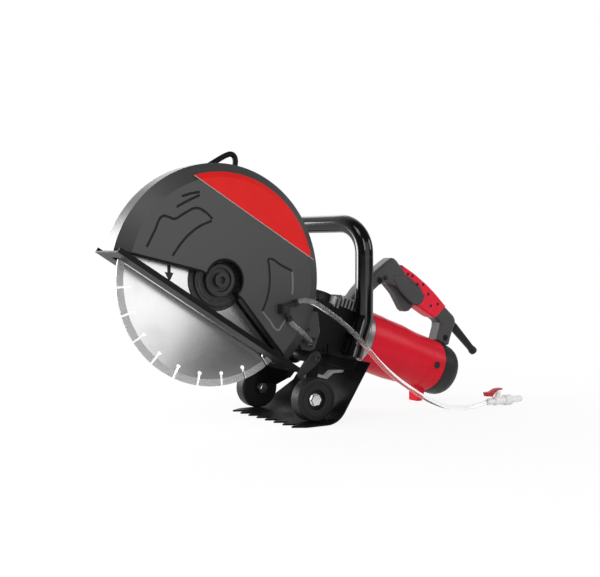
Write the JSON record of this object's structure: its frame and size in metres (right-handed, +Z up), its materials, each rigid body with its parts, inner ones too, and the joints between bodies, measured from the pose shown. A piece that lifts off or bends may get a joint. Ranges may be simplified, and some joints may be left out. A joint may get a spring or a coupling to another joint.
{
  "type": "concrete cut-off saw",
  "caption": "Electric concrete cut-off saw: diamond blade under a half drum guard, bevel gear drive, inclined motor, tube front handle, rear D handle, guide wheels, splash flap, wet-cut hose.",
  "frame": {"origin": "point on the floor under the wheel axle, in the plane of the blade", "axes": "+X towards the rear handle, +Y from the blade towards the motor, +Z up, as the saw stands"},
  "size_m": [0.8226, 0.3058, 0.4617],
  "materials": {
    "blade_steel": "ground steel",
    "segment": "sintered diamond segment",
    "black_steel": "blackened steel",
    "steel": "machined steel",
    "zinc": "zinc plated",
    "black_cast": "black painted die casting",
    "guard_grey": "satin dark grey paint",
    "panel_red": "gloss red sheet",
    "bare_alu": "machined",
    "red_plastic": "satin red moulding",
    "black_plastic": "matt black moulding",
    "grip_red": "soft red moulding",
    "black_rubber": "matt black rubber",
    "tube_black": "gloss black paint",
    "sheet_black": "satin black paint",
    "core_iron": "stacked sheet iron",
    "copper": "copper",
    "carbon": "carbon",
    "hose_clear": "clear tube",
    "white_plastic": "white moulding",
    "lever_red": "red moulding"
  },
  "bodies": {
    "frame": {"spindle_bearings": "steel", "bearing_retainer": "steel", "gear_housing": "black_cast", "gear_cover": "black_cast", "cover_screws": "black_steel", "filler_cap": "black_plastic", "pinion_bearings": "steel", "armature_bearings": "steel", "stator_core": "core_iron", "field_coils": "copper", "front_ring": "bare_alu", "motor_housing": "red_plastic", "rear_cap": "black_plastic", "brush_holders": "copper", "carbon_brushes": "carbon", "brush_caps": "black_plastic", "handle_near": "black_plastic", "handle_far": "black_plastic", "soft_grip": "grip_red", "switch_body": "black_plastic", "handle_screws": "black_steel", "bend_sleeve": "black_rubber", "guard_drum": "guard_grey", "guard_panel": "panel_red", "lifting_loop": "sheet_black", "guard_screws": "steel", "guard_bracket": "sheet_black", "bracket_screws": "black_steel", "base_shoe": "sheet_black", "front_handle": "tube_black", "wheel_bracket": "sheet_black", "wheel_bolts": "zinc", "splash_flap": "black_rubber", "flap_strip": "sheet_black", "water_tee": "black_plastic", "tee_screw": "zinc", "spray_hose": "hose_clear", "water_hose": "hose_clear", "valve_body": "white_plastic", "quick_coupler": "white_plastic"},
    "blade": {"blade_core": "blade_steel", "blade_segments": "segment", "outer_flange": "black_steel", "inner_flange": "black_steel", "flange_washer": "black_steel", "flange_bolt": "black_steel", "spindle": "steel", "bevel_gear": "steel"},
    "pinion": {"pinion_shaft": "steel", "reduction_gear": "steel"},
    "armature": {"armature_shaft": "steel", "armature_core": "core_iron", "commutator": "copper", "cooling_fan": "black_plastic"},
    "near_wheel": {"near_wheel": "black_rubber"},
    "far_wheel": {"far_wheel": "black_rubber"},
    "trigger": {"trigger": "black_plastic"},
    "lock_button": {"lock_button": "black_plastic"},
    "valve_handle": {"valve_lever": "lever_red", "valve_ball": "steel"}
  },
  "joints": [
    {"name": "blade_spin", "type": "hinge", "parent": "frame", "child": "blade", "pos_m": [-0.155, 0, 0.246], "axis": [0, 1, 0], "continuous": true},
    {"name": "pinion_spin", "type": "hinge", "parent": "frame", "child": "pinion", "pos_m": [-0.155, 0.07925, 0.246], "axis": [0.9397, 0, -0.342], "continuous": true},
    {"name": "armature_spin", "type": "hinge", "parent": "frame", "child": "armature", "pos_m": [-0.15397, 0.05, 0.24882], "axis": [0.9397, 0, -0.342], "continuous": true},
    {"name": "near_wheel_spin", "type": "hinge", "parent": "frame", "child": "near_wheel", "pos_m": [0, -0.058, 0.0409], "axis": [0, 1, 0], "continuous": true},
    {"name": "far_wheel_spin", "type": "hinge", "parent": "frame", "child": "far_wheel", "pos_m": [0, 0.132, 0.0409], "axis": [0, 1, 0], "continuous": true},
    {"name": "trigger_pull", "type": "hinge", "parent": "frame", "child": "trigger", "pos_m": [0.239, 0.05, 0.238], "axis": [0, -1, 0], "range_deg": [0, 6], "stiffness_Nm_per_rad": 2, "springref_deg": -11.46},
    {"name": "lock_press", "type": "slide", "parent": "frame", "child": "lock_button", "axis": [0, 1, 0], "range_m": [0, 0.003], "stiffness_N_per_m": 600, "springref_m": -0.003},
    {"name": "valve_turn", "type": "hinge", "parent": "frame", "child": "valve_handle", "pos_m": [0.4, -0.092, 0.01], "axis": [0, 0, 1], "range_deg": [0, 90]}
  ],
  "couplings": [
    {"joint": "pinion_spin", "follows": "blade_spin", "ratio": 1.4118},
    {"joint": "armature_spin", "follows": "blade_spin", "ratio": -4.877}
  ]
}
